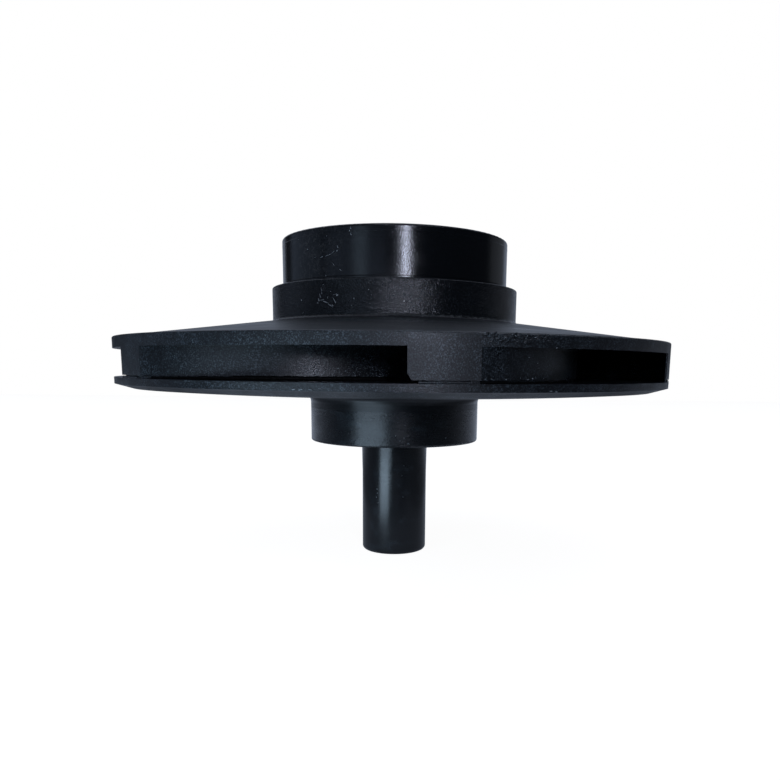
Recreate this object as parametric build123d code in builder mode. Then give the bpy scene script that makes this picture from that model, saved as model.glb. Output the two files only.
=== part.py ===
from build123d import *
from math import acos, cos, degrees, radians, sqrt, tan
import os

# A closed pump impeller: an eye ring on a conical front shroud with six swept vanes, bonded to a
# back plate whose hub steps down to a long sleeve. Millimetres and degrees. +Z runs along the
# shaft from the motor towards the eye, and the origin is the centre of the sleeve's end face.

# ---- Shaft and threaded insert ----
shaft_diameter = 11.11  # 7/16 in stub shaft
shaft_clearance = 0.1  # radial, between the stub shaft and the sleeve's bore
thread_minor_diameter = 9.92  # 7/16-20 UNF, before the thread is cut
insert_across_flats = 16.0
insert_length = 10.4
insert_recess = 0.6  # height of the insert's lower face above the hub's face
insert_groove_width = 3.0
insert_groove_depth = 1.2  # below the flats
insert_mouth_chamfer = 0.6

# ---- Sleeve and hub ----
sleeve_radius = 7.94  # 5/8 in seat of the shaft seal
sleeve_length = 27.65
seal_seat_length = 20.0  # true cylinder, from the end face
sleeve_flare = 0.14  # added radius where the sleeve meets the hub
sleeve_end_round = 0.9
sleeve_root_fillet = 0.5
bore_mouth_chamfer = 0.4
relief_width = 0.6  # radial, of the run-out between the bore and the insert
relief_length = 1.2
hub_radius = 20.4
hub_length = 11.26
hub_edge_round = 0.5
hub_root_fillet = 2.0

# ---- Back plate and the nose inside the eye ----
outer_radius = 63.5  # of both shrouds
plate_thickness = 3.81  # at the hub
plate_rim_thickness = 1.37
plate_bevel_width = 3.5
plate_bevel_depth = 1.0
nose_radius = 12.5
nose_height = 2.6
nose_round = 1.8
nose_root_fillet = 0.6

# ---- Front shroud and eye ring ----
outlet_width = 5.91  # height of the passages at the rim
shroud_rim_thickness = 2.31
shroud_wall = 2.3
rim_land_width = 4.1
rim_land_rise = 0.39
rim_edge_round = 0.3
cone_rise = 4.05
band_step = 2.51  # from the ring out to the band below it
band_height = 7.62
band_root_fillet = 0.8
band_edge_round = 0.25
ring_radius = 26.42  # running surface in the wear ring
ring_wall = 3.02
ring_height = 10.88
ring_root_fillet = 0.4
ring_edge_round = 0.5
eye_turn_radius = 7.5
eye_mouth_chamfer = 1.0

# ---- Vanes ----
vane_count = 6
vane_thickness = 3.45
vane_inlet_radius = 27.0
vane_inlet_angle = 20.0  # between the vane and the circle it starts on
vane_outlet_angle = 15.0
vane_edge_flat = 0.4  # blunt thickness of the trailing edge
vane_edge_bearing = -87.0  # of the first vane's trailing edge, from +X
joint_gap = 0.55  # height of the groove round each vane's foot
joint_setback = 0.5  # depth of that groove
chip_width = 0.95  # corner broken off the foot of the first vane's trailing edge
chip_height = 1.7
wear_length = 1.9  # worn off the trailing edge of the vane before the first, along the rim

# ---- Dependent sizes ----
bore_radius = shaft_diameter / 2 + shaft_clearance
relief_radius = bore_radius + relief_width
insert_base = sleeve_length + insert_recess
relief_base = insert_base - relief_length
insert_middle = insert_base + insert_length / 2
insert_groove_radius = insert_across_flats / 2 - insert_groove_depth
plate_bottom = sleeve_length + hub_length
plate_top = plate_bottom + plate_thickness
plate_rim_bottom = plate_top - plate_rim_thickness
bevel_radius = outer_radius - plate_bevel_width
bevel_bottom = plate_rim_bottom - plate_bevel_depth
nose_top = plate_top + nose_height
outlet_top = plate_top + outlet_width
rim_top = outlet_top + shroud_rim_thickness
eye_radius = ring_radius - ring_wall
band_radius = ring_radius + band_step
land_radius = outer_radius - rim_land_width
land_top = rim_top + rim_land_rise
cone_top = land_top + cone_rise
band_top = cone_top + band_height
ring_top = band_top + ring_height
roof_slope = (cone_top - shroud_wall - outlet_top) / (outer_radius - band_radius)
roof_at_eye = outlet_top + (outer_radius - eye_radius) * roof_slope
foot_top = plate_top + joint_gap

# Each vane follows one arc that meets the inlet circle and the rim at the vane's two angles.
outlet_run = outer_radius * cos(radians(vane_outlet_angle))
inlet_run = vane_inlet_radius * cos(radians(vane_inlet_angle))
vane_arc_radius = (outer_radius**2 - vane_inlet_radius**2) / (2 * (outlet_run - inlet_run))
arc_centre_radius = sqrt(outer_radius**2 + vane_arc_radius**2 - 2 * vane_arc_radius * outlet_run)


def angle_at(opposite, side, other_side):
    """Angle between two sides of a triangle, from its three lengths."""
    return degrees(acos((side**2 + other_side**2 - opposite**2) / (2 * side * other_side)))


vane_overrun = outer_radius + vane_thickness
edge_flat_arc = degrees(vane_edge_flat / tan(radians(vane_outlet_angle)) / outer_radius)
hollow_face_radius = vane_arc_radius - vane_thickness / 2
hollow_face_arc = angle_at(hollow_face_radius, outer_radius, arc_centre_radius)
arc_centre_bearing = vane_edge_bearing - edge_flat_arc - hollow_face_arc
arc_at_inlet = angle_at(vane_inlet_radius, vane_arc_radius, arc_centre_radius)
arc_at_overrun = angle_at(vane_overrun, vane_arc_radius, arc_centre_radius)
vane_pitch = 360 / vane_count
worn_bearing = vane_edge_bearing - vane_pitch + degrees(wear_length / outer_radius)


def corner(radius, height):
    """Corner of the section being drawn that lies nearest to a point."""
    return vertices().sort_by_distance((radius, height))[0]


def radial_location(bearing):
    """Location on the rim with its X axis pointing outwards."""
    return Location((0, 0, 0), (0, 0, bearing)) * Location((outer_radius, 0, 0))


# ---- Threaded insert, turned from hexagonal brass bar ----
with BuildPart() as insert_blank:
    with BuildSketch(Plane.XY.offset(insert_base)):
        RegularPolygon(insert_across_flats / 2, 6, major_radius=False)
    extrude(amount=insert_length)
    with BuildSketch(Plane.XZ):
        with Locations((insert_groove_radius, insert_middle)):
            Rectangle(insert_across_flats, insert_groove_width, align=(Align.MIN, Align.CENTER))
    revolve(axis=Axis.Z, mode=Mode.SUBTRACT)

with BuildPart() as threaded_insert:
    add(insert_blank.part)
    with Locations((0, 0, insert_base)):
        Hole(thread_minor_diameter / 2)
    mouth = edges().filter_by(GeomType.CIRCLE).group_by(Axis.Z)[0]
    chamfer(mouth, insert_mouth_chamfer)

# ---- Back plate, hub and sleeve, one moulding round the insert ----
with BuildPart() as back_plate:
    with BuildSketch(Plane.XZ) as plate_section:
        with BuildLine():
            Polyline(
                (bore_radius, 0),
                (sleeve_radius, 0),
                (sleeve_radius, seal_seat_length),
                (sleeve_radius + sleeve_flare, sleeve_length),
                (hub_radius, sleeve_length),
                (hub_radius, plate_bottom),
            )
            TangentArc((hub_radius, plate_bottom), (bevel_radius, bevel_bottom), tangent=(1, 0))
            Polyline(
                (bevel_radius, bevel_bottom),
                (outer_radius, plate_rim_bottom),
                (outer_radius, plate_top),
                (nose_radius, plate_top),
                (nose_radius, nose_top),
                (0, nose_top),
                (0, insert_base),
                (relief_radius, insert_base),
                (relief_radius, relief_base),
                (bore_radius, relief_base),
                (bore_radius, 0),
            )
        make_face()
        chamfer(corner(bore_radius, 0), bore_mouth_chamfer)
        fillet(corner(sleeve_radius, 0), sleeve_end_round)
        fillet(corner(sleeve_radius + sleeve_flare, sleeve_length), sleeve_root_fillet)
        fillet(corner(hub_radius, sleeve_length), hub_edge_round)
        fillet(corner(hub_radius, plate_bottom), hub_root_fillet)
        fillet(corner(nose_radius, plate_top), nose_root_fillet)
        fillet(corner(nose_radius, nose_top), nose_round)
    revolve(axis=Axis.Z)
    add(insert_blank.part, mode=Mode.SUBTRACT)

# ---- One vane in plan: a slot along its arc, with the trailing edge cut blunt ----
with BuildLine(Plane.XY.rotated((0, 0, arc_centre_bearing))) as vane_line:
    CenterArc(
        (arc_centre_radius, 0),
        vane_arc_radius,
        180 - arc_at_overrun,
        arc_at_overrun - arc_at_inlet,
    )

with BuildSketch() as vane_plan:
    SlotArc(vane_line.edge(), vane_thickness)
    with Locations(radial_location(vane_edge_bearing)):
        Rectangle(
            2 * vane_thickness,
            2 * vane_thickness,
            align=(Align.CENTER, Align.MAX),
            mode=Mode.SUBTRACT,
        )

# ---- Front shroud, eye ring and vanes, one moulding ----
with BuildPart() as front_shroud:
    # Each vane's foot is set back, so that a groove shows along the bond.
    with BuildSketch(Plane.XY.offset(plate_top)):
        with PolarLocations(0, vane_count):
            SlotArc(vane_line.edge(), vane_thickness - 2 * joint_setback)
    extrude(amount=joint_gap)
    with BuildSketch(Plane.XY.offset(foot_top)):
        with PolarLocations(0, vane_count):
            add(vane_plan.sketch)
        with Locations(radial_location(worn_bearing)):
            Rectangle(
                2 * vane_thickness,
                2 * vane_thickness,
                align=(Align.CENTER, Align.MAX),
                mode=Mode.SUBTRACT,
            )
    extrude(amount=band_top - foot_top)

    # The vanes end at the rim and half-way into the shroud's wall.
    with BuildSketch(Plane.XZ):
        with BuildLine():
            Polyline(
                (eye_radius, plate_top),
                (outer_radius - joint_setback, plate_top),
                (outer_radius - joint_setback, foot_top),
                (outer_radius, foot_top),
                (outer_radius, (outlet_top + rim_top) / 2),
                (band_radius, cone_top - shroud_wall / 2),
                ((eye_radius + ring_radius) / 2, (cone_top + band_top) / 2),
                (eye_radius, (cone_top + band_top) / 2),
                close=True,
            )
        make_face()
    revolve(axis=Axis.Z, mode=Mode.INTERSECT)

    with BuildSketch(Plane.XZ) as shroud_section:
        with BuildLine():
            Polyline(
                (outer_radius, outlet_top),
                (outer_radius, rim_top),
                (land_radius, land_top),
                (band_radius, cone_top),
                (band_radius, band_top),
                (ring_radius, band_top),
                (ring_radius, ring_top),
                (eye_radius, ring_top),
                (eye_radius, roof_at_eye),
                close=True,
            )
        make_face()
        fillet(corner(outer_radius, rim_top), rim_edge_round)
        fillet(corner(band_radius, cone_top), band_root_fillet)
        fillet(corner(band_radius, band_top), band_edge_round)
        fillet(corner(ring_radius, band_top), ring_root_fillet)
        fillet(corner(ring_radius, ring_top), ring_edge_round)
        chamfer(corner(eye_radius, ring_top), eye_mouth_chamfer)
        fillet(corner(eye_radius, roof_at_eye), eye_turn_radius)
    revolve(axis=Axis.Z)

    # A corner is broken off the foot of the first vane's trailing edge.
    outwards = Vector(1, 0, 0).rotate(Axis.Z, vane_edge_bearing)
    along_rim = outwards.rotate(Axis.Z, 90)
    with BuildSketch(Plane(outwards * outer_radius, along_rim, outwards)):
        with BuildLine():
            Polyline(
                (-chip_width, plate_top),
                (chip_width, plate_top),
                (-chip_width, plate_top + 2 * chip_height),
                close=True,
            )
        make_face()
    extrude(amount=vane_thickness, both=True, mode=Mode.SUBTRACT)

# ---- Export ----
os.makedirs("parts", exist_ok=True)
threaded_insert.part.label = "threaded_insert"
back_plate.part.label = "back_plate"
front_shroud.part.label = "front_shroud"
export_step(threaded_insert.part, "parts/threaded_insert.step")
export_step(back_plate.part, "parts/back_plate.step")
export_step(front_shroud.part, "parts/front_shroud.step")
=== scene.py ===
"""Looks of the pump impeller: finishes, surface details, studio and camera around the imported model.

Lengths in the classes are millimetres and angles are degrees; the scene itself is in metres. Bearings
are measured round the shaft axis from -Y, the side that faces the camera, towards +X.
"""

import logging
from dataclasses import dataclass
from enum import Enum
from math import cos, pi, radians, sin
from random import Random
from typing import Callable

import bpy
from mathutils import Matrix, Vector

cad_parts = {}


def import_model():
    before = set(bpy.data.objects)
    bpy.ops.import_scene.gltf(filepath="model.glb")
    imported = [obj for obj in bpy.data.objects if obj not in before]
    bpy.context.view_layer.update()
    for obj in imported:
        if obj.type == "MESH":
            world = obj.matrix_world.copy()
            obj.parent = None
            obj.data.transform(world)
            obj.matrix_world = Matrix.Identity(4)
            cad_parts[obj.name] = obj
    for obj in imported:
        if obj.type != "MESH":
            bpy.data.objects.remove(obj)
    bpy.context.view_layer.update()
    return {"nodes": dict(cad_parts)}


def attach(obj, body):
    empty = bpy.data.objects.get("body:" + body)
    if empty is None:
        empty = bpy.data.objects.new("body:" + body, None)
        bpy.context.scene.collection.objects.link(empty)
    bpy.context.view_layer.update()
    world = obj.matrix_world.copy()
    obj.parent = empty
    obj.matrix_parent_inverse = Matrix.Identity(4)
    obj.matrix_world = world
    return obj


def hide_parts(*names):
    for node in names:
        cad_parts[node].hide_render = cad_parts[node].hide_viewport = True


log = logging.getLogger("impeller")

MM = 0.001

# Points that lie closer together than this are merged, in metres.
MERGE_DISTANCE = 0.001 * MM
# Faces that meet at less than this angle are shaded as one surface, in degrees.
SMOOTH_ANGLE = 40
# Points round a bead's section, and millimetres along the bead from one section to the next.
BEAD_POINTS = 10
BEAD_STEP = 0.4
FEWEST_BEAD_STEPS = 4
# Without a window, the spin operator turns the other way.
SPIN_SENSE = -1


class Body(Enum):
    """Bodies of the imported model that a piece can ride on."""

    IMPELLER = "root"


class Slot(Enum):
    """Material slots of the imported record."""

    SHROUD = "shroud_plastic"
    PLATE = "plate_plastic"
    INSERT = "insert_brass"


# ---------------------------------------------------------------------------------------------
# Colours and nodes
# ---------------------------------------------------------------------------------------------


def linear_colour(hex_code: str) -> tuple[float, float, float, float]:
    """Turn an sRGB hex code into the linear colour that shaders work in.

    Args:
        hex_code: Six hex digits with a leading hash.

    Returns:
        Red, green, blue and alpha, with alpha at one.
    """
    channels = [int(hex_code[i:i + 2], 16) / 255 for i in (1, 3, 5)]
    linear = [c / 12.92 if c <= 0.04045 else ((c + 0.055) / 1.055) ** 2.4 for c in channels]
    return (linear[0], linear[1], linear[2], 1.0)


def scale_for(size_mm: float) -> float:
    """Pattern scale on object coordinates in metres for features of a size in millimetres."""
    return 1 / (size_mm * MM)


def add_node(tree: bpy.types.NodeTree, kind: str, settings: dict[str, str] | None = None,
             output: int | str = 0, **links: object) -> bpy.types.NodeSocket | None:
    """Add a shader node with its settings and links.

    Args:
        tree: Node tree that gets the node.
        kind: Blender's type name of the node, without the "ShaderNode" in front.
        settings: Values of the node's own properties.
        output: Number or name of the output that is wanted.
        links: Value or output socket for each input, named in lower case with underscores, or
            "in0", "in1" and so on by number.

    Returns:
        The wanted output socket, whose node gives the others, or nothing for an output node.
    """
    node = tree.nodes.new("ShaderNode" + kind)
    for name, value in (settings or {}).items():
        setattr(node, name, value)
    for name, value in links.items():
        if name.startswith("in") and name[2:].isdigit():
            socket = node.inputs[int(name[2:])]
        else:
            socket = next(s for s in node.inputs if s.name.lower().replace(" ", "_") == name)
        if isinstance(value, bpy.types.NodeSocket):
            tree.links.new(value, socket)
        else:
            socket.default_value = value
    return node.outputs[output] if node.outputs else None


def new_material(name: str) -> bpy.types.Material:
    """Make a node material that has no nodes yet.

    Args:
        name: Name of the material.

    Returns:
        The empty material.
    """
    material = bpy.data.materials.new(name)
    material.use_nodes = True
    material.node_tree.nodes.clear()
    return material


# ---------------------------------------------------------------------------------------------
# Finishes
# ---------------------------------------------------------------------------------------------

ADD = {"operation": "ADD"}
SUBTRACT = {"operation": "SUBTRACT"}
MULTIPLY = {"operation": "MULTIPLY"}
MAXIMUM = {"operation": "MAXIMUM"}
ABOVE = {"operation": "GREATER_THAN"}
BELOW = {"operation": "LESS_THAN"}
SMOOTH = {"interpolation_type": "SMOOTHSTEP"}
COLOURS = {"data_type": "RGBA"}
VECTORS = {"data_type": "VECTOR"}
WHITE = (1.0, 1.0, 1.0, 1.0)


@dataclass(frozen=True)
class Zone:
    """A ring-shaped stretch of a moulding that was made or worn in its own way.

    The stretch lies between two radii and two heights. Roughness is the shader's own, grain is the
    height of the skin's fine bumps, pale is how much glass fibre shows, and lines is the height of the
    marks that run round the axis. The streak amount is how much pale streaking runs round the axis:
    rubbing that leaves the surface smoother, with its paleness partly a painted highlight. Dust is how
    much dust lies in the surface near the scuffed side.
    """

    inner: float
    outer: float
    low: float
    high: float
    roughness: float
    grain: float
    pale: float
    lines: float
    streaks: float = 0.0
    dust: float = 0.0


@dataclass(frozen=True)
class MouldedPlastic:
    """Black glass-filled plastic, injection moulded, with its fits turned smooth.

    The glass fibres near the skin give moulded faces a fine pale speckle and a broken sheen.
    Turned faces are darker and closer to satin, with faint lines round the axis.
    """

    name: str
    skin: Zone
    zones: tuple[Zone, ...]
    colour: str = "#080c10"
    fibre_colour: str = "#7c8a93"
    dust_colour: str = "#5c5b58"
    # The fibres are about 0.01 mm thick. That is too fine to show, so the speckle and the grain
    # that they give the skin are drawn about as coarse as the view can tell apart.
    speckle_mm: float = 0.25
    speckle_range: tuple[float, float] = (0.46, 0.7)
    grain_mm: float = 0.28
    blotch_mm: float = 5.0
    blotch_range: tuple[float, float] = (0.35, 0.65)
    least_speckle: float = 0.3
    wear_range: tuple[float, float] = (0.3, 0.7)
    wear: float = 0.03
    # A turning tool moves on by about 0.1 mm a turn, and its lines are drawn wider apart to show.
    lathe_line_mm: float = 0.3
    lathe_breaks: float = 2.0
    streak_mm: float = 2.6
    streak_breaks: float = 2.5
    streak_range: tuple[float, float] = (0.52, 0.72)
    mote_mm: float = 0.8
    mote_range: tuple[float, float] = (0.45, 0.7)
    dust_place: tuple[float, float, float] = (-18.5, -19.0, 69.0)
    dust_reach: float = 17.0

    def material(self) -> bpy.types.Material:
        """Build the material.

        Returns:
            The new material, named for what it is made of.
        """
        material = new_material(self.name)
        tree = material.node_tree
        place = add_node(tree, "TexCoord", output="Object")
        flat = add_node(tree, "VectorMath", MULTIPLY, in0=place, in1=(1, 1, 0))
        radius = add_node(tree, "VectorMath", {"operation": "LENGTH"}, output=1, in0=flat)
        height = add_node(tree, "SeparateXYZ", output=2, in0=place)
        surface = self.zoned(tree, radius, height, lambda zone: (zone.roughness, zone.grain, zone.pale))
        roughness, grain, pale = add_node(tree, "SeparateXYZ", in0=surface).node.outputs
        marks = self.zoned(tree, radius, height, lambda zone: (zone.lines, zone.streaks, zone.dust))
        lines, streaks, dust = add_node(tree, "SeparateXYZ", in0=marks).node.outputs

        # Fibres that show through the skin, more in some patches than in others.
        speckle = add_node(tree, "TexNoise", in0=place, scale=scale_for(self.speckle_mm), detail=2.0,
                           roughness=0.6)
        fibres = add_node(tree, "MapRange", SMOOTH, in0=speckle, in1=self.speckle_range[0],
                          in2=self.speckle_range[1])
        blotch = add_node(tree, "TexNoise", in0=place, scale=scale_for(self.blotch_mm), detail=5.0,
                          roughness=0.6)
        patches = add_node(tree, "MapRange", SMOOTH, in0=blotch, in1=self.blotch_range[0],
                           in2=self.blotch_range[1], in3=self.least_speckle, in4=1.0)
        shown = add_node(tree, "Math", MULTIPLY, in0=fibres, in1=patches)
        amount = add_node(tree, "Math", MULTIPLY, in0=shown, in1=pale)

        # Pale streaks round the axis: rubbing that leaves the surface smoother, with their paleness
        # partly a painted highlight, as on the cone.
        swirl = self.round_axis(tree, flat, radius, height, self.streak_mm, self.streak_breaks)
        swirls = add_node(tree, "MapRange", SMOOTH, in0=swirl, in1=self.streak_range[0],
                          in2=self.streak_range[1])
        rubbing_and_painted_sheen_mask = add_node(tree, "Math", MULTIPLY, in0=swirls, in1=streaks)
        amount = add_node(tree, "Math", ADD, in0=rubbing_and_painted_sheen_mask, in1=amount)
        base = add_node(tree, "Mix", COLOURS, output=2, in0=amount, in6=linear_colour(self.colour),
                        in7=linear_colour(self.fibre_colour))

        # Dust on the scuffed side.
        away = add_node(tree, "VectorMath", {"operation": "DISTANCE"}, output=1, in0=place,
                        in1=tuple(c * MM for c in self.dust_place))
        near = add_node(tree, "MapRange", SMOOTH, in0=away, in1=0.0, in2=self.dust_reach * MM, in3=1.0,
                        in4=0.0)
        mote = add_node(tree, "TexNoise", in0=place, scale=scale_for(self.mote_mm), detail=4.0,
                        roughness=0.7)
        motes = add_node(tree, "MapRange", SMOOTH, in0=mote, in1=self.mote_range[0],
                         in2=self.mote_range[1])
        dusty = add_node(tree, "Math", MULTIPLY, in0=motes, in1=near)
        dusty = add_node(tree, "Math", MULTIPLY, in0=dusty, in1=dust)
        base = add_node(tree, "Mix", COLOURS, output=2, in0=dusty, in6=base,
                        in7=linear_colour(self.dust_colour))

        # Sheen that wear has made uneven, and smoother where the surface was rubbed.
        worn = add_node(tree, "MapRange", SMOOTH, in0=blotch, in1=self.wear_range[0],
                        in2=self.wear_range[1], in3=self.wear, in4=-self.wear)
        uneven = add_node(tree, "Math", ADD, in0=roughness, in1=worn)
        uneven = add_node(tree, "Math", SUBTRACT, in0=uneven, in1=rubbing_and_painted_sheen_mask)

        # Grain of the skin and lines of the turning tool.
        fine = add_node(tree, "TexNoise", in0=place, scale=scale_for(self.grain_mm), detail=1.0)
        grained = add_node(tree, "Math", MULTIPLY, in0=fine, in1=grain)
        turned = self.round_axis(tree, flat, radius, height, self.lathe_line_mm, self.lathe_breaks)
        lined = add_node(tree, "Math", MULTIPLY, in0=turned, in1=lines)
        relief = add_node(tree, "Math", ADD, in0=grained, in1=lined)
        bump = add_node(tree, "Bump", height=relief, distance=MM, strength=1.0)
        shader = add_node(tree, "BsdfPrincipled", base_color=base, roughness=uneven, ior=1.5,
                          normal=bump)
        add_node(tree, "OutputMaterial", surface=shader)
        return material

    def zoned(self, tree: bpy.types.NodeTree, radius: bpy.types.NodeSocket,
              height: bpy.types.NodeSocket,
              values: Callable[[Zone], tuple[float, float, float]]) -> bpy.types.NodeSocket:
        """Give three values that change from zone to zone.

        Args:
            tree: Node tree that gets the nodes.
            radius: Socket with the distance from the axis.
            height: Socket with the height.
            values: Function that gives a zone's three values.

        Returns:
            A vector socket with the three values.
        """
        mixed = values(self.skin)
        for zone in self.zones:
            inside = 1.0
            for socket, low, high in ((radius, zone.inner, zone.outer), (height, zone.low, zone.high)):
                over = add_node(tree, "Math", ABOVE, in0=socket, in1=low * MM)
                under = add_node(tree, "Math", BELOW, in0=socket, in1=high * MM)
                between = add_node(tree, "Math", MULTIPLY, in0=over, in1=under)
                inside = add_node(tree, "Math", MULTIPLY, in0=between, in1=inside)
            mixed = add_node(tree, "Mix", VECTORS, output=1, in0=inside, in4=mixed, in5=values(zone))
        return mixed

    def round_axis(self, tree: bpy.types.NodeTree, flat: bpy.types.NodeSocket,
                   radius: bpy.types.NodeSocket, height: bpy.types.NodeSocket, line_mm: float,
                   breaks: float) -> bpy.types.NodeSocket:
        """Draw lines round the axis, which fade in and out along their length.

        Args:
            tree: Node tree that gets the nodes.
            flat: Socket with the place, flattened to the floor.
            radius: Socket with the distance from the axis.
            height: Socket with the height.
            line_mm: Distance from line to line.
            breaks: How often the lines fade, in times per radian.

        Returns:
            A socket with the pattern, from 0 to 1.
        """
        direction = add_node(tree, "VectorMath", {"operation": "NORMALIZE"}, in0=flat)
        around = add_node(tree, "VectorMath", {"operation": "SCALE"}, in0=direction, scale=breaks)
        across = add_node(tree, "Math", ADD, in0=radius, in1=height)
        count = add_node(tree, "Math", MULTIPLY, in0=across, in1=scale_for(line_mm))
        lift = add_node(tree, "CombineXYZ", in2=count)
        where = add_node(tree, "VectorMath", ADD, in0=around, in1=lift)
        return add_node(tree, "TexNoise", in0=where, scale=1.0, detail=2.0)


@dataclass(frozen=True)
class ScrapedPlastic:
    """Black plastic that was scraped or chipped: the torn glass fibres leave it pale and matt."""

    name: str = "scraped_plastic"
    dark: str = "#3c464d"
    light: str = "#b0b8bc"
    # Torn fibre ends are finer than the view can show, so they are drawn this coarse.
    tear_mm: float = 0.15
    tear_range: tuple[float, float] = (0.35, 0.65)
    tear_depth: float = 0.03

    def material(self) -> bpy.types.Material:
        """Build the material.

        Returns:
            The new material, named for what it is made of.
        """
        material = new_material(self.name)
        tree = material.node_tree
        place = add_node(tree, "TexCoord", output="Object")
        tears = add_node(tree, "TexNoise", in0=place, scale=scale_for(self.tear_mm), detail=2.0)
        amount = add_node(tree, "MapRange", SMOOTH, in0=tears, in1=self.tear_range[0],
                          in2=self.tear_range[1])
        base = add_node(tree, "Mix", COLOURS, output=2, in0=amount, in6=linear_colour(self.dark),
                        in7=linear_colour(self.light))
        bump = add_node(tree, "Bump", height=tears, distance=self.tear_depth * MM, strength=1.0)
        shader = add_node(tree, "BsdfPrincipled", base_color=base, roughness=0.6, ior=1.5, normal=bump)
        add_node(tree, "OutputMaterial", surface=shader)
        return material


@dataclass(frozen=True)
class AdhesiveWithPaintedShade:
    """Black adhesive squeezed out of a joint and set, matt and darker than the plastic; its darkness is
    also painted shade for the shadowed groove under each vane's foot.
    """

    name: str = "dried_adhesive"
    colour: str = "#030405"
    lump_mm: float = 0.6
    lump_range: tuple[float, float] = (0.3, 0.7)
    lump_depth: float = 0.1
    roughness: tuple[float, float] = (0.55, 0.8)

    def material(self) -> bpy.types.Material:
        """Build the material.

        Returns:
            The new material, named for what it is made of.
        """
        material = new_material(self.name)
        tree = material.node_tree
        place = add_node(tree, "TexCoord", output="Object")
        lumps = add_node(tree, "TexNoise", in0=place, scale=scale_for(self.lump_mm), detail=3.0)
        worn = add_node(tree, "MapRange", SMOOTH, in0=lumps, in1=self.lump_range[0],
                        in2=self.lump_range[1], in3=self.roughness[0], in4=self.roughness[1])
        bump = add_node(tree, "Bump", height=lumps, distance=self.lump_depth * MM, strength=1.0)
        shader = add_node(tree, "BsdfPrincipled", base_color=linear_colour(self.colour), roughness=worn,
                          specular_ior_level=0.15, normal=bump)
        add_node(tree, "OutputMaterial", surface=shader)
        return material


@dataclass(frozen=True)
class MachinedBrass:
    """Free-cutting brass bar, turned and tapped: bright, with fine tool lines."""

    name: str = "machined_brass"
    colour: str = "#c8a35a"
    roughness: tuple[float, float] = (0.22, 0.38)
    tool_line_mm: float = 0.12
    line_range: tuple[float, float] = (0.3, 0.7)
    line_depth: float = 0.003
    # The lines run round the bar, so the pattern is ten times as long across as it is high.
    stretch: tuple[float, float, float] = (0.1, 0.1, 1.0)

    def material(self) -> bpy.types.Material:
        """Build the material.

        Returns:
            The new material, named for what it is made of.
        """
        material = new_material(self.name)
        tree = material.node_tree
        place = add_node(tree, "TexCoord", output="Object")
        long = add_node(tree, "Mapping", in0=place, scale=self.stretch)
        lines = add_node(tree, "TexNoise", in0=long, scale=scale_for(self.tool_line_mm), detail=2.0)
        bump = add_node(tree, "Bump", height=lines, distance=self.line_depth * MM, strength=1.0)
        worn = add_node(tree, "MapRange", SMOOTH, in0=lines, in1=self.line_range[0],
                        in2=self.line_range[1], in3=self.roughness[0], in4=self.roughness[1])
        shader = add_node(tree, "BsdfPrincipled", base_color=linear_colour(self.colour), metallic=1.0,
                          roughness=worn, normal=bump)
        add_node(tree, "OutputMaterial", surface=shader)
        return material


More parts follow.
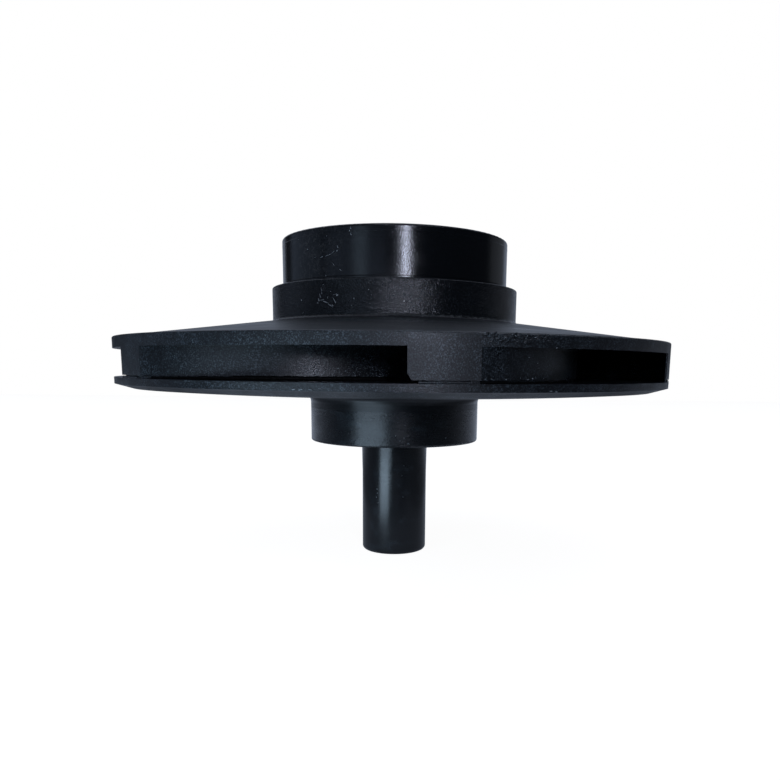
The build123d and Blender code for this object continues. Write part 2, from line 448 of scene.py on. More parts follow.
@dataclass(frozen=True)
class StudioWhite:
    """Matt white studio surface that shows as plain white and still takes a soft shadow.

    The glow is seen only by rays from the camera, from gloss and through glass, so it sends no
    light on to the object. In gloss it is strong behind the object, weaker under it, and weakest in
    front, where a room has no white paper. Past side_start from the middle line, the strong part
    starts further forward, by side_slope. A ramp is the two distances between which a level changes:
    backwards for the back and under ramps, and sideways for the beside ramp.
    """

    name: str
    albedo: float
    glow: float
    gloss_back: float
    gloss_under: float
    gloss_front: float
    gloss_colour: str = "#d8e6ff"
    side_start: float = 120.0
    side_slope: float = 0.6
    back_ramp: tuple[float, float] = (70.0, 260.0)
    under_ramp: tuple[float, float] = (-60.0, -40.0)
    beside_ramp: tuple[float, float] = (50.0, 75.0)

    def material(self) -> bpy.types.Material:
        """Build the material.

        Returns:
            The new material, named for what it is made of.
        """
        material = new_material(self.name)
        tree = material.node_tree
        rays = add_node(tree, "LightPath").node.outputs
        level = self.gloss_level(tree)
        in_gloss = add_node(tree, "Math", MULTIPLY, in0=rays["Is Glossy Ray"], in1=level)
        seen = add_node(tree, "Math", MAXIMUM, in0=rays["Is Camera Ray"], in1=in_gloss)
        seen = add_node(tree, "Math", MAXIMUM, in0=seen, in1=rays["Is Transmission Ray"])
        glow = add_node(tree, "Math", MULTIPLY, in0=seen, in1=self.glow)
        paper = add_node(tree, "BsdfDiffuse", color=(self.albedo, self.albedo, self.albedo, 1.0))
        tint = add_node(tree, "Mix", COLOURS, output=2, in0=rays["Is Glossy Ray"], in6=WHITE,
                        in7=linear_colour(self.gloss_colour))
        light = add_node(tree, "Emission", color=tint, strength=glow)
        both = add_node(tree, "AddShader", in0=paper, in1=light)
        add_node(tree, "OutputMaterial", surface=both)
        return material

    def gloss_level(self, tree: bpy.types.NodeTree) -> bpy.types.NodeSocket:
        """Work out how much of the glow the object's gloss shows from place to place.

        Args:
            tree: Node tree that gets the nodes.

        Returns:
            A socket with the level.
        """
        place = add_node(tree, "TexCoord", output="Object")
        across, along, _ = add_node(tree, "SeparateXYZ", in0=place).node.outputs
        sideways = add_node(tree, "Math", {"operation": "ABSOLUTE"}, in0=across)
        past = add_node(tree, "Math", SUBTRACT, in0=sideways, in1=self.side_start * MM)
        past = add_node(tree, "Math", MAXIMUM, in0=past, in1=0.0)
        reach = add_node(tree, "Math", {"operation": "MULTIPLY_ADD"}, in0=past, in1=self.side_slope,
                         in2=along)
        back = add_node(tree, "MapRange", SMOOTH, in0=reach, in1=self.back_ramp[0] * MM,
                        in2=self.back_ramp[1] * MM, in3=self.gloss_front, in4=self.gloss_back)
        under = add_node(tree, "MapRange", SMOOTH, in0=along, in1=self.under_ramp[0] * MM,
                         in2=self.under_ramp[1] * MM, in3=self.gloss_front, in4=self.gloss_under)
        beside = add_node(tree, "MapRange", SMOOTH, in0=sideways, in1=self.beside_ramp[0] * MM,
                          in2=self.beside_ramp[1] * MM, in3=1.0, in4=0.0)
        under = add_node(tree, "Math", MULTIPLY, in0=under, in1=beside)
        return add_node(tree, "Math", MAXIMUM, in0=back, in1=under)


# ---------------------------------------------------------------------------------------------
# Modelling helpers
# ---------------------------------------------------------------------------------------------


def deselect_all() -> None:
    """Leave nothing selected, so that the next operator acts on its own object only."""
    bpy.ops.object.select_all(action="DESELECT")


def select_only(piece: bpy.types.Object) -> None:
    """Select one object, make it active, and leave nothing else selected.

    Args:
        piece: The object.
    """
    deselect_all()
    piece.select_set(True)
    bpy.context.view_layer.objects.active = piece


def take_primitive(name: str) -> bpy.types.Object:
    """Name the object that was made last, and put its place, turn and size in its mesh.

    Args:
        name: Name for the object and its mesh.

    Returns:
        The object.
    """
    made = bpy.context.view_layer.objects.active
    made.name = name
    made.data.name = name
    bpy.ops.object.transform_apply(location=True, rotation=True, scale=True)
    return made


def join_pieces(parts: list[bpy.types.Object], name: str) -> bpy.types.Object:
    """Join several meshes into one piece.

    Args:
        parts: Objects to join; they become one.
        name: Name of the piece.

    Returns:
        The joined piece.
    """
    select_only(parts[0])
    for part in parts:
        part.select_set(True)
    bpy.ops.object.join()
    return take_primitive(name)


def copy_round(piece: bpy.types.Object, turn: float) -> bpy.types.Object:
    """Copy a piece, with a mesh of its own, and turn the copy round the shaft axis.

    Args:
        piece: Object to copy, at the origin.
        turn: Bearing that the copy is turned by.

    Returns:
        The copy.
    """
    select_only(piece)
    bpy.ops.object.duplicate(linked=False)
    bpy.context.view_layer.objects.active.rotation_euler.z = radians(turn)
    return take_primitive(piece.name + "_copy")


def roughen(piece: bpy.types.Object, size: float, depth: float) -> None:
    """Push a mesh's points in and out by a soft noise.

    Args:
        piece: Object to roughen.
        size: Size of the lumps, in millimetres.
        depth: Height from the deepest hollow to the highest lump, in millimetres.
    """
    select_only(piece)
    noise = bpy.data.textures.new(piece.name + "_lumps", "CLOUDS")
    noise.noise_scale = size * MM
    lumps = piece.modifiers.new("lumps", "DISPLACE")
    lumps.texture = noise
    lumps.texture_coords = "LOCAL"
    lumps.strength = depth * MM
    bpy.ops.object.modifier_apply(modifier=lumps.name)


def turn_faces_out() -> None:
    """Point all faces of the mesh in edit mode outwards."""
    bpy.ops.mesh.select_all(action="SELECT")
    bpy.ops.mesh.normals_make_consistent(inside=False)


def finish_piece(piece: bpy.types.Object, material: bpy.types.Material) -> None:
    """Shade a piece smooth, dress it and let it move with the impeller.

    Args:
        piece: Finished mesh object at the origin.
        material: Material of the whole piece.
    """
    select_only(piece)
    bpy.ops.object.mode_set(mode="EDIT")
    turn_faces_out()
    bpy.ops.object.mode_set(mode="OBJECT")
    bpy.ops.object.shade_smooth_by_angle(angle=radians(SMOOTH_ANGLE))
    piece.data.materials.clear()
    piece.data.materials.append(material)
    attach(piece, Body.IMPELLER.value)
    log.info("%s: %d faces", piece.name, len(piece.data.polygons))


def bent_bead(name: str, centre: tuple[float, float], radius: float, height: float, start: float,
              end: float, thickness: float) -> bpy.types.Object:
    """Model a bead with closed ends that follows a level arc.

    Args:
        name: Name of the bead.
        centre: Centre of the arc, in millimetres.
        radius: Radius of the arc.
        height: Height of the bead's middle.
        start: Bearing of the first end about the centre.
        end: Bearing of the other end, which is larger.
        thickness: Diameter of the bead.

    Returns:
        The bead.
    """
    deselect_all()
    turn = radians(start)
    sweep = radians(end - start)
    place = Vector((centre[0] + radius * sin(turn), centre[1] - radius * cos(turn), height)) * MM
    bpy.ops.mesh.primitive_circle_add(vertices=BEAD_POINTS, radius=thickness / 2 * MM, fill_type="NGON",
                                      location=place, rotation=(0, radians(90), turn))
    bead = take_primitive(name)
    bpy.ops.object.mode_set(mode="EDIT")
    bpy.ops.mesh.select_all(action="SELECT")
    bpy.ops.mesh.spin(steps=max(FEWEST_BEAD_STEPS, round(sweep * radius / BEAD_STEP)),
                      angle=SPIN_SENSE * sweep, axis=(0, 0, 1),
                      center=(centre[0] * MM, centre[1] * MM, 0))
    turn_faces_out()
    bpy.ops.object.mode_set(mode="OBJECT")
    return bead


# ---------------------------------------------------------------------------------------------
# Sub-assemblies
# ---------------------------------------------------------------------------------------------


@dataclass
class Mouldings:
    """The front shroud and the back plate, whose CAD forms stay and get their finish here."""

    shroud_node: str = "front_shroud"
    plate_node: str = "back_plate"
    shroud_finish: MouldedPlastic = MouldedPlastic(
        "glass_filled_plastic_shroud",
        skin=Zone(0, 70, 0, 80, roughness=0.41, grain=0.03, pale=0.42, lines=0.0),
        zones=(
            # Eye ring, turned for the wear ring, and the band below it.
            Zone(0, 27.4, 63.1, 80, roughness=0.16, grain=0.02, pale=0.02, lines=0.008, dust=0.32),
            Zone(27.4, 29.5, 55.2, 63.1, roughness=0.22, grain=0.1, pale=0.1, lines=0.002, dust=0.25),
            # Vanes, inside the rim.
            Zone(24, 63.2, 42.7, 48.6, roughness=0.3, grain=0.03, pale=0.42, lines=0.0),
            # Cone, turned and rubbed; its pale streaks are partly a painted highlight.
            Zone(29.5, 62.9, 50.5, 63.1, roughness=0.38, grain=0.015, pale=0.1, lines=0.04, streaks=0.1),
        ),
    )
    plate_finish: MouldedPlastic = MouldedPlastic(
        "glass_filled_plastic_plate",
        skin=Zone(0, 70, 0, 80, roughness=0.35, grain=0.03, pale=0.4, lines=0.0),
        zones=(
            # Sleeve, turned for the shaft's seal.
            Zone(0, 9, 0, 28, roughness=0.21, grain=0.014, pale=0.02, lines=0.01, streaks=0.04),
            # Hub, and the fillet between the hub and the plate.
            Zone(9, 24, 0, 35.6, roughness=0.27, grain=0.03, pale=0.06, lines=0.01, streaks=0.05),
            Zone(9, 24, 35.6, 39, roughness=0.31, grain=0.028, pale=0.05, lines=0.009),
            # Underside of the plate, and the bevel at its edge, where the strong pale speckle is partly
            # a painted reflection of the pale floor as well as glass fibre.
            Zone(24, 58, 0, 42, roughness=0.45, grain=0.03, pale=0.15, lines=0.005),
            # The bevel's high pale paints the floor's reflection along the plate's edge.
            Zone(58, 63.35, 0, 41.2, roughness=0.42, grain=0.02, pale=0.5, lines=0.005),
        ),
    )

    def dress(self, nodes: dict[str, bpy.types.Object]) -> None:
        """Give both mouldings their material.

        Args:
            nodes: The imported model's objects by node name.
        """
        for node, finish in ((self.shroud_node, self.shroud_finish),
                             (self.plate_node, self.plate_finish)):
            dress_node(nodes[node], finish.material())
            log.info("%s dressed as %s", node, finish.name)


def dress_node(target: bpy.types.Object, material: bpy.types.Material) -> None:
    """Put one material in all of an object's slots.

    Args:
        target: The object.
        material: Its new material.
    """
    if not target.material_slots:
        target.data.materials.append(material)
    for slot in target.material_slots:
        slot.material = material


@dataclass
class ThreadedInsert:
    """The brass insert in the hub, with the thread that takes the shaft's end.

    The bore is opened to the thread's root, and the thread stands in it as one long V-shaped ridge.
    The ridge's foot stands in the wall by seat, and crest is the width of its flat top.
    """

    node: str = "threaded_insert"
    minor_radius: float = 4.96
    major_radius: float = 5.556
    pitch: float = 1.27
    thread_start: float = 28.7
    turns: int = 7
    turn_steps: int = 36
    seat: float = 0.12
    crest: float = 0.2
    bore_margin: float = 0.05
    finish: MachinedBrass = MachinedBrass()

    def build(self, nodes: dict[str, bpy.types.Object]) -> None:
        """Model the insert and let it stand for its CAD node.

        Args:
            nodes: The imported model's objects by node name.
        """
        insert = join_pieces([self.body(nodes[self.node]), self.ridge()], "tapped_insert")
        finish_piece(insert, self.finish.material())
        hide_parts(self.node)

    def body(self, node: bpy.types.Object) -> bpy.types.Object:
        """Copy the CAD insert and open its bore to the root of the thread.

        Args:
            node: The CAD insert, which stays as it is.

        Returns:
            The copy.
        """
        select_only(node)
        bpy.ops.object.duplicate()
        body = bpy.context.view_layer.objects.active
        bpy.ops.object.mode_set(mode="EDIT")
        bpy.ops.mesh.select_all(action="SELECT")
        bpy.ops.mesh.remove_doubles(threshold=MERGE_DISTANCE)
        bpy.ops.mesh.select_all(action="DESELECT")
        bpy.ops.object.mode_set(mode="OBJECT")
        for point in body.data.vertices:
            point.select = point.co.xy.length < (self.minor_radius + self.bore_margin) * MM
        bpy.ops.object.mode_set(mode="EDIT")
        widen = self.major_radius / self.minor_radius
        bpy.ops.transform.resize(value=(widen, widen, 1), center_override=(0, 0, 0))
        bpy.ops.object.mode_set(mode="OBJECT")
        return body

    def ridge(self) -> bpy.types.Object:
        """Model the thread's ridge by winding its section round the axis.

        Returns:
            The ridge.
        """
        deselect_all()
        foot = self.major_radius + self.seat
        middle = Vector(((foot + self.minor_radius) / 2, 0, self.thread_start)) * MM
        bpy.ops.mesh.primitive_plane_add(size=1, location=middle, rotation=(radians(90), 0, 0))
        section = bpy.context.view_layer.objects.active
        section.scale = ((foot - self.minor_radius) * MM, self.pitch * MM, 1)
        ridge = take_primitive("thread_ridge")
        for point in ridge.data.vertices:
            point.select = point.co.x < self.major_radius * MM
        bpy.ops.object.mode_set(mode="EDIT")
        bpy.ops.mesh.select_mode(type="VERT")
        bpy.ops.transform.resize(value=(1, 1, self.crest / self.pitch),
                                 center_override=(0, 0, self.thread_start * MM))
        bpy.ops.mesh.select_all(action="SELECT")
        bpy.ops.mesh.delete(type="ONLY_FACE")
        bpy.ops.object.mode_set(mode="OBJECT")
        wind = ridge.modifiers.new("wind", "SCREW")
        wind.axis = "Z"
        wind.angle = 2 * pi
        wind.screw_offset = self.pitch * MM
        wind.iterations = self.turns
        wind.steps = self.turn_steps
        wind.render_steps = self.turn_steps
        bpy.ops.object.modifier_apply(modifier=wind.name)
        bpy.ops.object.mode_set(mode="EDIT")
        bpy.ops.mesh.select_all(action="SELECT")
        bpy.ops.mesh.remove_doubles(threshold=MERGE_DISTANCE)
        bpy.ops.mesh.select_all(action="SELECT")
        bpy.ops.mesh.fill_holes(sides=4)
        turn_faces_out()
        bpy.ops.object.mode_set(mode="OBJECT")
        return ridge


@dataclass(frozen=True)
class Wall:
    """An upright round wall that marks lie on: its radius, and its centre seen from above."""

    radius: float
    centre: tuple[float, float] = (0.0, 0.0)


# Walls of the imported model, each a hair's breadth proud of its solid at most.
RING_WALL = Wall(26.42)
BAND_WALL = Wall(28.93)
RIM_WALL = Wall(63.5)
HUB_WALL = Wall(20.4)
SLEEVE_WALL = Wall(7.96)
# Outer faces of the vane whose end is in front, and of the next one to its left.
FIRST_VANE_FACE = Wall(47.649, (-9.0478, -20.6349))
LEFT_VANE_FACE = Wall(47.649, (-22.3942, -2.4818))


@dataclass(frozen=True)
class Stretch:
    """A stretch of a bead: the bearings of its ends from where its line starts, and its thickness."""

    start: float
    end: float
    thickness: float


@dataclass
class BondFlash:
    """What was squeezed out of the joint between the vanes' feet and the back plate.

    Plastic flash fills the groove round each vane's foot near the rim, and a seam of adhesive runs on
    from there; the seam's dark adhesive also paints the shade in the groove under the vane. Bearings
    along a vane are measured about the centre of its face, and its stretches start at rim_corner, where
    the face meets the rim. Foot is the height of the joint.
    """

    vane_count: int = 6
    vane_pitch: float = 60.0
    vane_face: Wall = FIRST_VANE_FACE
    rim_corner: float = 30.45
    foot: float = 42.72
    inset: float = 0.22
    # Share of a bead's thickness that its middle lies above the foot.
    rise: float = 0.4
    flash: tuple[Stretch, ...] = (Stretch(0.5, 3.4, 0.5), Stretch(3.0, 9.0, 0.22))
    # The seam is dark adhesive that also paints the shade under the vane's foot.
    seam: tuple[Stretch, ...] = (
        Stretch(3.0, 7.0, 0.36), Stretch(6.6, 11.0, 0.5), Stretch(10.6, 16.0, 0.66),
        Stretch(15.6, 24.0, 0.82), Stretch(23.6, 59.0, 1.0),
    )
    first_seam: tuple[Stretch, ...] = (Stretch(0.3, 6.6, 0.62), Stretch(6.2, 32.0, 0.4))
    rim_stretch: Stretch = Stretch(4.6, 12.3, 0.46)
    rim_inset: float = 0.27
    rim_lift: float = 0.2
    # Size and depth of the lumps.
    flash_lumps: tuple[float, float] = (0.9, 0.12)
    seam_lumps: tuple[float, float] = (1.2, 0.16)

    def build(self, plastic: bpy.types.Material, adhesive: bpy.types.Material) -> None:
        """Model the flash and the seam of all vanes as two pieces.

        The first vane has no flash at its foot, and a seam of its own. The second vane's are
        modelled and then copied to the other vanes.

        Args:
            plastic: Material of the flash.
            adhesive: Material of the seam.
        """
        second = -self.vane_pitch
        seam = [self.foot_bead(second, stretch) for stretch in self.seam]
        seams = [join_pieces(seam, "vane_seam")]
        flash = [self.foot_bead(second, stretch) for stretch in self.flash]
        flashes = [join_pieces([self.rim_bead(second)] + flash, "vane_flash")]
        for vane in range(1, self.vane_count - 1):
            seams.append(copy_round(seams[0], -self.vane_pitch * vane))
            flashes.append(copy_round(flashes[0], -self.vane_pitch * vane))
        seams += [self.foot_bead(0, stretch) for stretch in self.first_seam]
        flashes.append(self.rim_bead(0))
        # The seam piece is dark adhesive whose darkness also paints the shade under the vanes' feet.
        for name, parts, lumps, material in (("bond_flash", flashes, self.flash_lumps, plastic),
                                             ("bond_seam", seams, self.seam_lumps, adhesive)):
            piece = join_pieces(parts, name)
            roughen(piece, size=lumps[0], depth=lumps[1])
            finish_piece(piece, material)

    def foot_bead(self, turn: float, stretch: Stretch) -> bpy.types.Object:
        """Model one stretch along the foot of a vane's outer face.

        Args:
            turn: Bearing that the vane is turned by from the first one.
            stretch: The stretch.

        Returns:
            The bead.
        """
        centre = Matrix.Rotation(radians(turn), 2) @ Vector(self.vane_face.centre)
        corner = self.rim_corner + turn
        return bent_bead("foot_bead", (centre.x, centre.y), self.vane_face.radius - self.inset,
                         self.foot + stretch.thickness * self.rise, corner + stretch.start,
                         corner + stretch.end, stretch.thickness)

    def rim_bead(self, turn: float) -> bpy.types.Object:
        """Model the flash at the end of a vane's foot, along the rim.

        Args:
            turn: Bearing that the vane is turned by from the first one.

        Returns:
            The bead.
        """
        return bent_bead("rim_bead", (0, 0), RIM_WALL.radius - self.rim_inset, self.foot + self.rim_lift,
                         self.rim_stretch.start + turn, self.rim_stretch.end + turn,
                         self.rim_stretch.thickness)


@dataclass(frozen=True)
class Span:
    """Part of a wall: its lowest and highest bearing, and its lowest and highest height."""

    left: float
    right: float
    low: float
    high: float


@dataclass(frozen=True)
class Mark:
    """A small raised mark: bearing and height of its middle, length round the wall, width and slant."""

    bearing: float
    height: float
    length: float
    width: float
    slant: float = 0.0


def flake(wall: Wall, mark: Mark, thickness: float) -> bpy.types.Object:
    """Model a thin torn flake that lies on a wall.

    Args:
        wall: Wall that it lies on.
        mark: Place and size of the flake.
        thickness: Its whole thickness, half of which is in the wall.

    Returns:
        The flake.
    """
    deselect_all()
    turn = radians(mark.bearing)
    place = Vector((wall.centre[0] + wall.radius * sin(turn), wall.centre[1] - wall.radius * cos(turn),
                    mark.height)) * MM
    bpy.ops.mesh.primitive_ico_sphere_add(subdivisions=2, radius=0.5, location=place,
                                          rotation=(0, radians(-mark.slant), turn),
                                          scale=(mark.length * MM, thickness * MM, mark.width * MM))
    return take_primitive("flake")


@dataclass
class ScrapeMarks:
    """Scrapes and nicks from use, as fine torn flakes of plastic that lie half in their wall.

    They are on the ring, the band, two vanes, the rims, the hub and the sleeve. The specks at a vane's
    foot and the burrs on the shroud's chewed rim are scattered by seeded chance. The specks lie only
    over the patch low on the vane's face where light falls under the rim's shadow, so their paleness
    paints that pool of light as well as scrapes.
    """

    ring: tuple[Mark, ...] = (
        Mark(-19.0, 73.0, 0.22, 0.50), Mark(-18.8, 71.8, 0.25, 0.53, 20), Mark(-19.4, 72.5, 0.15, 0.38),
        Mark(-25.4, 69.5, 0.20, 0.62, 12), Mark(-25.8, 68.7, 0.22, 0.43),
        Mark(-27.8, 68.5, 0.88, 0.12, 28), Mark(-29.6, 68.1, 1.00, 0.12, 22),
        Mark(-31.3, 67.9, 0.88, 0.15, 20), Mark(-34.4, 67.7, 0.62, 0.15, 18),
        Mark(-43.4, 69.6, 0.50, 0.12), Mark(-38.5, 67.8, 0.25, 0.15), Mark(-32.0, 63.9, 0.18, 0.30),
        Mark(-24.1, 64.9, 0.75, 0.09, -40), Mark(-27.9, 66.2, 1.00, 0.07, -45),
        Mark(-50.5, 72.0, 0.38, 0.12), Mark(-31.2, 71.8, 0.25, 0.10, 30),
    )
    band: tuple[Mark, ...] = (
        Mark(-29.5, 61.8, 0.38, 0.12, 20), Mark(-30.4, 60.6, 0.12, 1.38, 12),
        Mark(-31.2, 59.7, 0.12, 1.12, 25), Mark(-31.9, 58.8, 0.25, 0.75, 30),
        Mark(-32.5, 58.2, 0.38, 0.25), Mark(-30.2, 58.8, 1.25, 0.18, 10),
        Mark(-28.2, 58.3, 1.62, 0.20, -18), Mark(-26.3, 57.7, 1.25, 0.18, -30),
        Mark(-25.0, 57.5, 0.20, 0.62, 10), Mark(-24.2, 58.6, 0.15, 1.38, 30),
        Mark(-22.9, 59.6, 0.50, 0.33, 30), Mark(-23.9, 59.8, 1.00, 0.12, 10),
        Mark(-25.9, 60.4, 0.25, 0.15), Mark(-27.4, 59.2, 0.15, 0.38), Mark(-41.9, 59.0, 0.28, 0.33),
        Mark(-40.9, 56.3, 0.12, 0.62), Mark(-16.6, 57.5, 0.30, 0.18), Mark(-15.5, 58.9, 0.20, 0.38, 15),
        Mark(-9.4, 60.6, 0.25, 0.15), Mark(-8.3, 59.6, 0.15, 0.12), Mark(4.8, 58.4, 0.20, 0.15),
    )
    first_vane: tuple[Mark, ...] = (
        Mark(43.5, 47.1, 0.20, 0.18), Mark(46.6, 46.2, 0.25, 0.22), Mark(45.6, 44.9, 0.18, 0.15),
        Mark(31.6, 43.55, 0.38, 0.18), Mark(33.1, 43.5, 0.43, 0.15), Mark(36.9, 43.5, 0.38, 0.15),
        Mark(41.1, 43.7, 0.25, 0.20), Mark(43.5, 43.45, 0.62, 0.20, 10),
        Mark(45.0, 43.6, 0.38, 0.30, 20), Mark(46.0, 43.75, 0.25, 0.38), Mark(49.1, 43.6, 0.30, 0.18),
    )
    rim: tuple[Mark, ...] = (
        Mark(18.9, 50.5, 1.12, 0.07, -14), Mark(19.6, 50.2, 0.62, 0.06, 30),
        Mark(20.8, 50.3, 0.75, 0.07, 60), Mark(21.3, 49.8, 0.88, 0.08, -20),
        Mark(26.2, 48.7, 0.38, 0.15), Mark(17.4, 50.1, 0.50, 0.08, 50),
        Mark(16.2, 49.9, 0.80, 0.10, -35), Mark(22.4, 50.3, 0.60, 0.12, 15),
        Mark(23.6, 49.9, 0.45, 0.12, -10), Mark(-13.6, 41.6, 0.50, 0.18),
        Mark(-12.5, 41.55, 0.90, 0.15, 4), Mark(-11.0, 41.6, 0.60, 0.12), Mark(-9.6, 41.8, 0.40, 0.10),
        Mark(25.5, 41.6, 0.90, 0.12), Mark(26.5, 41.5, 0.55, 0.14),
    )
    hub: tuple[Mark, ...] = (
        Mark(36.0, 29.7, 0.22, 0.20), Mark(4.7, 29.3, 0.30, 0.16, 30), Mark(1.8, 30.4, 0.20, 0.34, -15),
        Mark(10.3, 28.6, 0.42, 0.12, -25), Mark(7.2, 29.9, 0.14, 0.30), Mark(-12.8, 29.2, 0.26, 0.14),
    )
    sleeve: tuple[Mark, ...] = (
        Mark(-30.4, 16.2, 0.16, 0.34), Mark(-29.4, 15.2, 0.30, 0.14, 20), Mark(-31.5, 14.2, 0.14, 0.24),
        Mark(-28.4, 12.8, 0.22, 0.12), Mark(14.8, 19.6, 0.30, 0.10, 55),
        Mark(16.8, 14.4, 0.34, 0.12, -10), Mark(18.2, 22.0, 0.12, 0.26, 20),
    )
    seed: int = 11
    # The specks' span is the patch where light falls under the rim's shadow; the pale specks paint that
    # lit patch.
    lit_patch_span: Span = Span(8.0, 28.0, 43.5, 45.3)
    speck_count: int = 150
    speck_length: tuple[float, float] = (0.12, 0.28)
    burr_span: Span = Span(14.4, 25.0, 49.3, 50.85)
    burr_count: int = 46
    burr_length: tuple[float, float] = (0.4, 1.5)
    width_share: tuple[float, float] = (0.3, 0.6)
    most_slant: float = 30.0
    thickness: float = 0.11
    burr_thickness: float = 0.3
    lump_size: float = 0.2
    lump_depth: float = 0.03

    def build(self, scraped: bpy.types.Material, plastic: bpy.types.Material) -> None:
        """Model all the marks.

        Args:
            scraped: Material of the torn places.
            plastic: Material of the burrs, which are still black.
        """
        for name, wall, marks, slot in (
            ("ring_scrapes", RING_WALL, self.ring, Slot.SHROUD),
            ("band_scrapes", BAND_WALL, self.band, Slot.SHROUD),
            ("vane_chips", FIRST_VANE_FACE, self.first_vane, Slot.SHROUD),
            ("rim_scrapes", RIM_WALL, self.rim, Slot.SHROUD),
            ("hub_scrapes", HUB_WALL, self.hub, Slot.PLATE),
            ("sleeve_scrapes", SLEEVE_WALL, self.sleeve, Slot.PLATE),
        ):
            self.group(name, wall, marks, self.thickness, scraped)
        chance = Random(self.seed)
        # Pale specks that paint the lit patch at the vane's foot, as well as scrapes.
        specks = self.scatter(chance, self.lit_patch_span, self.speck_count, self.speck_length)
        self.group("foot_specks", LEFT_VANE_FACE, specks, self.thickness, scraped)
        burrs = self.scatter(chance, self.burr_span, self.burr_count, self.burr_length)
        self.group("rim_burrs", RIM_WALL, burrs, self.burr_thickness, plastic)

    def scatter(self, chance: Random, span: Span, count: int,
                lengths: tuple[float, float]) -> tuple[Mark, ...]:
        """Scatter marks over part of a wall.

        Args:
            chance: Seeded source of chance.
            span: Part of the wall.
            count: How many marks.
            lengths: Shortest and longest length.

        Returns:
            The marks.
        """
        marks = []
        for _ in range(count):
            length = chance.uniform(*lengths)
            bearing = chance.uniform(span.left, span.right)
            height = chance.uniform(span.low, span.high)
            width = length * chance.uniform(*self.width_share)
            slant = chance.uniform(-self.most_slant, self.most_slant)
            marks.append(Mark(bearing, height, length, width, slant))
        return tuple(marks)

    def group(self, name: str, wall: Wall, marks: tuple[Mark, ...], thickness: float,
              material: bpy.types.Material) -> None:
        """Model the marks of one wall as one piece.

        Args:
            name: Name of the piece.
            wall: Wall that the marks lie on.
            marks: The marks.
            thickness: Whole thickness of a mark.
            material: Material of the marks.
        """
        piece = join_pieces([flake(wall, mark, thickness) for mark in marks], name)
        roughen(piece, size=self.lump_size, depth=self.lump_depth)
        finish_piece(piece, material)


@dataclass
class ToolLines:
    """Fine raised lines that the turning tool left on the eye ring."""

    wall: Wall = RING_WALL
    heights: tuple[float, ...] = (63.74, 72.35)
    thickness: tuple[float, ...] = (0.16, 0.07)
    ring_points: int = 160
    section_points: int = 8
    lump_size: float = 7.0
    lump_depth: float = 0.06

    def build(self, material: bpy.types.Material) -> None:
        """Model each line as a fine bead round the ring, which swells and fades on its way.

        Args:
            material: Material of the lines.
        """
        beads = []
        for height, thickness in zip(self.heights, self.thickness):
            deselect_all()
            bpy.ops.mesh.primitive_torus_add(major_segments=self.ring_points,
                                             minor_segments=self.section_points,
                                             location=(0, 0, height * MM),
                                             major_radius=self.wall.radius * MM,
                                             minor_radius=thickness / 2 * MM)
            beads.append(take_primitive("tool_line"))
        lines = join_pieces(beads, "tool_lines")
        roughen(lines, size=self.lump_size, depth=self.lump_depth)
        finish_piece(lines, material)


# ---------------------------------------------------------------------------------------------
# Studio
# ---------------------------------------------------------------------------------------------


@dataclass(frozen=True)
class SoftBox:
    """A rectangular studio lamp that faces the impeller's axis, unseen by the camera."""

    name: str
    bearing: float
    height: float
    distance: float
    width: float
    tall: float
    radiance: float
    colour: str = "#ffffff"
    aim_height: float = 50.0

    def build(self) -> None:
        """Add the lamp at its place, turned towards the axis."""
        turn = radians(self.bearing)
        place = Vector((self.distance * sin(turn), -self.distance * cos(turn), self.height)) * MM
        aim = Vector((0, 0, self.aim_height)) * MM
        deselect_all()
        bpy.ops.object.light_add(type="AREA", location=place)
        lamp = bpy.context.view_layer.objects.active
        lamp.name = self.name
        lamp.rotation_euler = (aim - place).to_track_quat("-Z", "Y").to_euler()
        lamp.visible_camera = False
        lamp.data.shape = "RECTANGLE"
        lamp.data.size = self.width * MM
        lamp.data.size_y = self.tall * MM
        lamp.data.color = linear_colour(self.colour)[:3]
        # The power in watts that gives the lamp's face its radiance.
        lamp.data.energy = self.radiance * pi * lamp.data.size * lamp.data.size_y


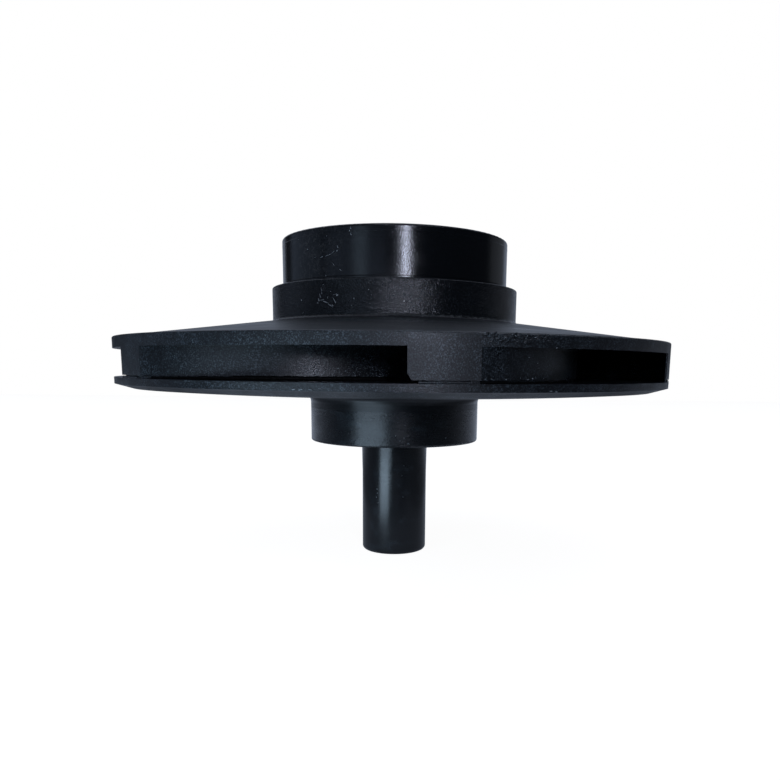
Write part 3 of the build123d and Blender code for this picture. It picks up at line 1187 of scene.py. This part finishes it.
@dataclass(frozen=True)
class Studio:
    """Pale floor, white backdrop behind the object, dim room and soft lamps.

    The floor lies a hair's breadth under the sleeve's end, so that the two faces don't coincide.
    The room grows lighter towards ceiling_side, over a ramp of cosines from that direction.
    """

    floor_front: float = -135.0
    floor_height: float = -0.03
    floor_back: float = 900.0
    half_width: float = 640.0
    backdrop_height: float = 900.0
    room_light: float = 0.03
    ceiling_light: float = 0.75
    ceiling_side: tuple[float, float, float] = (-0.1, 0.35, 0.93)
    ceiling_ramp: tuple[float, float] = (0.55, 0.85)
    room_colour: str = "#dde8ff"
    floor_finish: StudioWhite = StudioWhite("white_paper_floor", albedo=0.25, glow=0.96,
                                            gloss_back=0.7, gloss_under=0.3, gloss_front=0.04)
    backdrop_finish: StudioWhite = StudioWhite("white_paper_backdrop", albedo=0.0, glow=1.0,
                                               gloss_back=0.42, gloss_under=0.42, gloss_front=0.42)

    def build(self) -> None:
        """Build the floor, the backdrop, the room's light and the lamps."""
        self.build_floor()
        self.build_backdrop()
        self.build_room()
        for lamp in self.lamps():
            lamp.build()
            log.info("lamp %s", lamp.name)

    def lamps(self) -> list[SoftBox]:
        """Give the lamps, which are cool white like daylight from windows.

        Returns:
            The lamps.
        """
        return [
            SoftBox("high_strip", bearing=10.9, height=123, distance=420, width=29, tall=88,
                    radiance=38, colour="#e1e8ff"),
            SoftBox("sleeve_card", bearing=-33, height=8, distance=54, width=28, tall=15,
                    radiance=4.4, colour="#cbe7ff", aim_height=8),
            SoftBox("low_window", bearing=-28.5, height=17, distance=128, width=84, tall=30,
                    radiance=4.2, colour="#cbe7ff", aim_height=17),
            SoftBox("middle_fill", bearing=-14, height=64, distance=470, width=500, tall=46,
                    radiance=0.84, colour="#d1dfff"),
            SoftBox("high_window", bearing=-32, height=140, distance=460, width=100, tall=90,
                    radiance=0.65, colour="#cbe7ff"),
            SoftBox("high_fill", bearing=-39, height=140, distance=520, width=620, tall=70,
                    radiance=0.36, colour="#c5dbff"),
            SoftBox("front_top", bearing=-5, height=330, distance=350, width=200, tall=120,
                    radiance=2.0, colour="#dfe8ff"),
            SoftBox("right_back", bearing=125, height=125, distance=500, width=300, tall=150,
                    radiance=0.16, colour="#d6deec"),
            SoftBox("side_fill", bearing=-98, height=130, distance=500, width=460, tall=110,
                    radiance=0.24, colour="#c5dbff"),
        ]

    def build_floor(self) -> None:
        """Lay the floor under the object, from just outside the camera's view to the backdrop."""
        deselect_all()
        middle = (self.floor_front + self.floor_back) / 2
        bpy.ops.mesh.primitive_plane_add(size=1, location=(0, middle * MM, self.floor_height * MM))
        floor = bpy.context.view_layer.objects.active
        floor.scale = (2 * self.half_width * MM, (self.floor_back - self.floor_front) * MM, 1)
        floor = take_primitive("floor")
        floor.data.materials.append(self.floor_finish.material())

    def build_backdrop(self) -> None:
        """Stand the backdrop at the floor's back edge."""
        deselect_all()
        middle = Vector((0, self.floor_back, self.backdrop_height / 2)) * MM
        bpy.ops.mesh.primitive_plane_add(size=1, location=middle, rotation=(radians(90), 0, 0))
        backdrop = bpy.context.view_layer.objects.active
        backdrop.scale = (2 * self.half_width * MM, self.backdrop_height * MM, 1)
        backdrop = take_primitive("backdrop")
        backdrop.data.materials.append(self.backdrop_finish.material())

    def build_room(self) -> None:
        """Light the room dimly from above, and let the camera see white past the backdrop's edges."""
        world = bpy.data.worlds.new("studio")
        bpy.context.scene.world = world
        world.use_nodes = True
        tree = world.node_tree
        tree.nodes.clear()
        seen = add_node(tree, "LightPath", output="Is Camera Ray")
        direction = add_node(tree, "TexCoord", output="Generated")
        towards = add_node(tree, "VectorMath", {"operation": "DOT_PRODUCT"}, output=1, in0=direction,
                           in1=self.ceiling_side)
        room = add_node(tree, "MapRange", SMOOTH, in0=towards, in1=self.ceiling_ramp[0],
                        in2=self.ceiling_ramp[1], in3=self.room_light, in4=self.ceiling_light)
        level = add_node(tree, "Math", MAXIMUM, in0=seen, in1=room)
        tint = add_node(tree, "Mix", COLOURS, output=2, in0=seen, in6=linear_colour(self.room_colour),
                        in7=WHITE)
        sky = add_node(tree, "Background", color=tint, strength=level)
        add_node(tree, "OutputWorld", surface=sky)


@dataclass(frozen=True)
class ViewingCamera:
    """Camera level with the vanes, looking a little down at the impeller."""

    sideways: float = 3.788
    distance: float = 177.153
    height: float = 45.257
    turn: float = 0.609
    tilt: float = 10.269
    roll: float = 0.607
    focal_length: float = 32.883
    sensor_width: float = 36.0
    shift_across: float = -0.0341
    shift_up: float = 0.1367
    nearest: float = 1.0

    def build(self) -> None:
        """Add the camera and make it the scene's own."""
        deselect_all()
        bpy.ops.object.camera_add()
        camera = bpy.context.view_layer.objects.active
        camera.name = "viewing_camera"
        turned = Matrix.Rotation(-radians(self.turn), 4, "Z")
        tilted = Matrix.Rotation(radians(90 - self.tilt), 4, "X")
        rolled = Matrix.Rotation(radians(self.roll), 4, "Z")
        place = Vector((self.sideways, -self.distance, self.height)) * MM
        camera.matrix_world = Matrix.Translation(place) @ (turned @ tilted @ rolled)
        camera.data.sensor_width = self.sensor_width
        camera.data.lens = self.focal_length
        camera.data.shift_x = self.shift_across
        camera.data.shift_y = self.shift_up
        camera.data.clip_start = self.nearest * MM
        bpy.context.scene.camera = camera


def main() -> None:
    """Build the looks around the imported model."""
    logging.basicConfig(level=logging.INFO)
    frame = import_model()
    ViewingCamera().build()
    mouldings = Mouldings()
    mouldings.dress(frame["nodes"])
    plastic = frame["nodes"][mouldings.shroud_node].material_slots[0].material
    ThreadedInsert().build(frame["nodes"])
    # The seam's dark adhesive also paints the shade under the vanes' feet.
    BondFlash().build(plastic, AdhesiveWithPaintedShade().material())
    ToolLines().build(plastic)
    ScrapeMarks().build(ScrapedPlastic().material(), plastic)
    Studio().build()
    bpy.context.scene.view_settings.view_transform = "Standard"


if __name__ == "__main__":
    main()
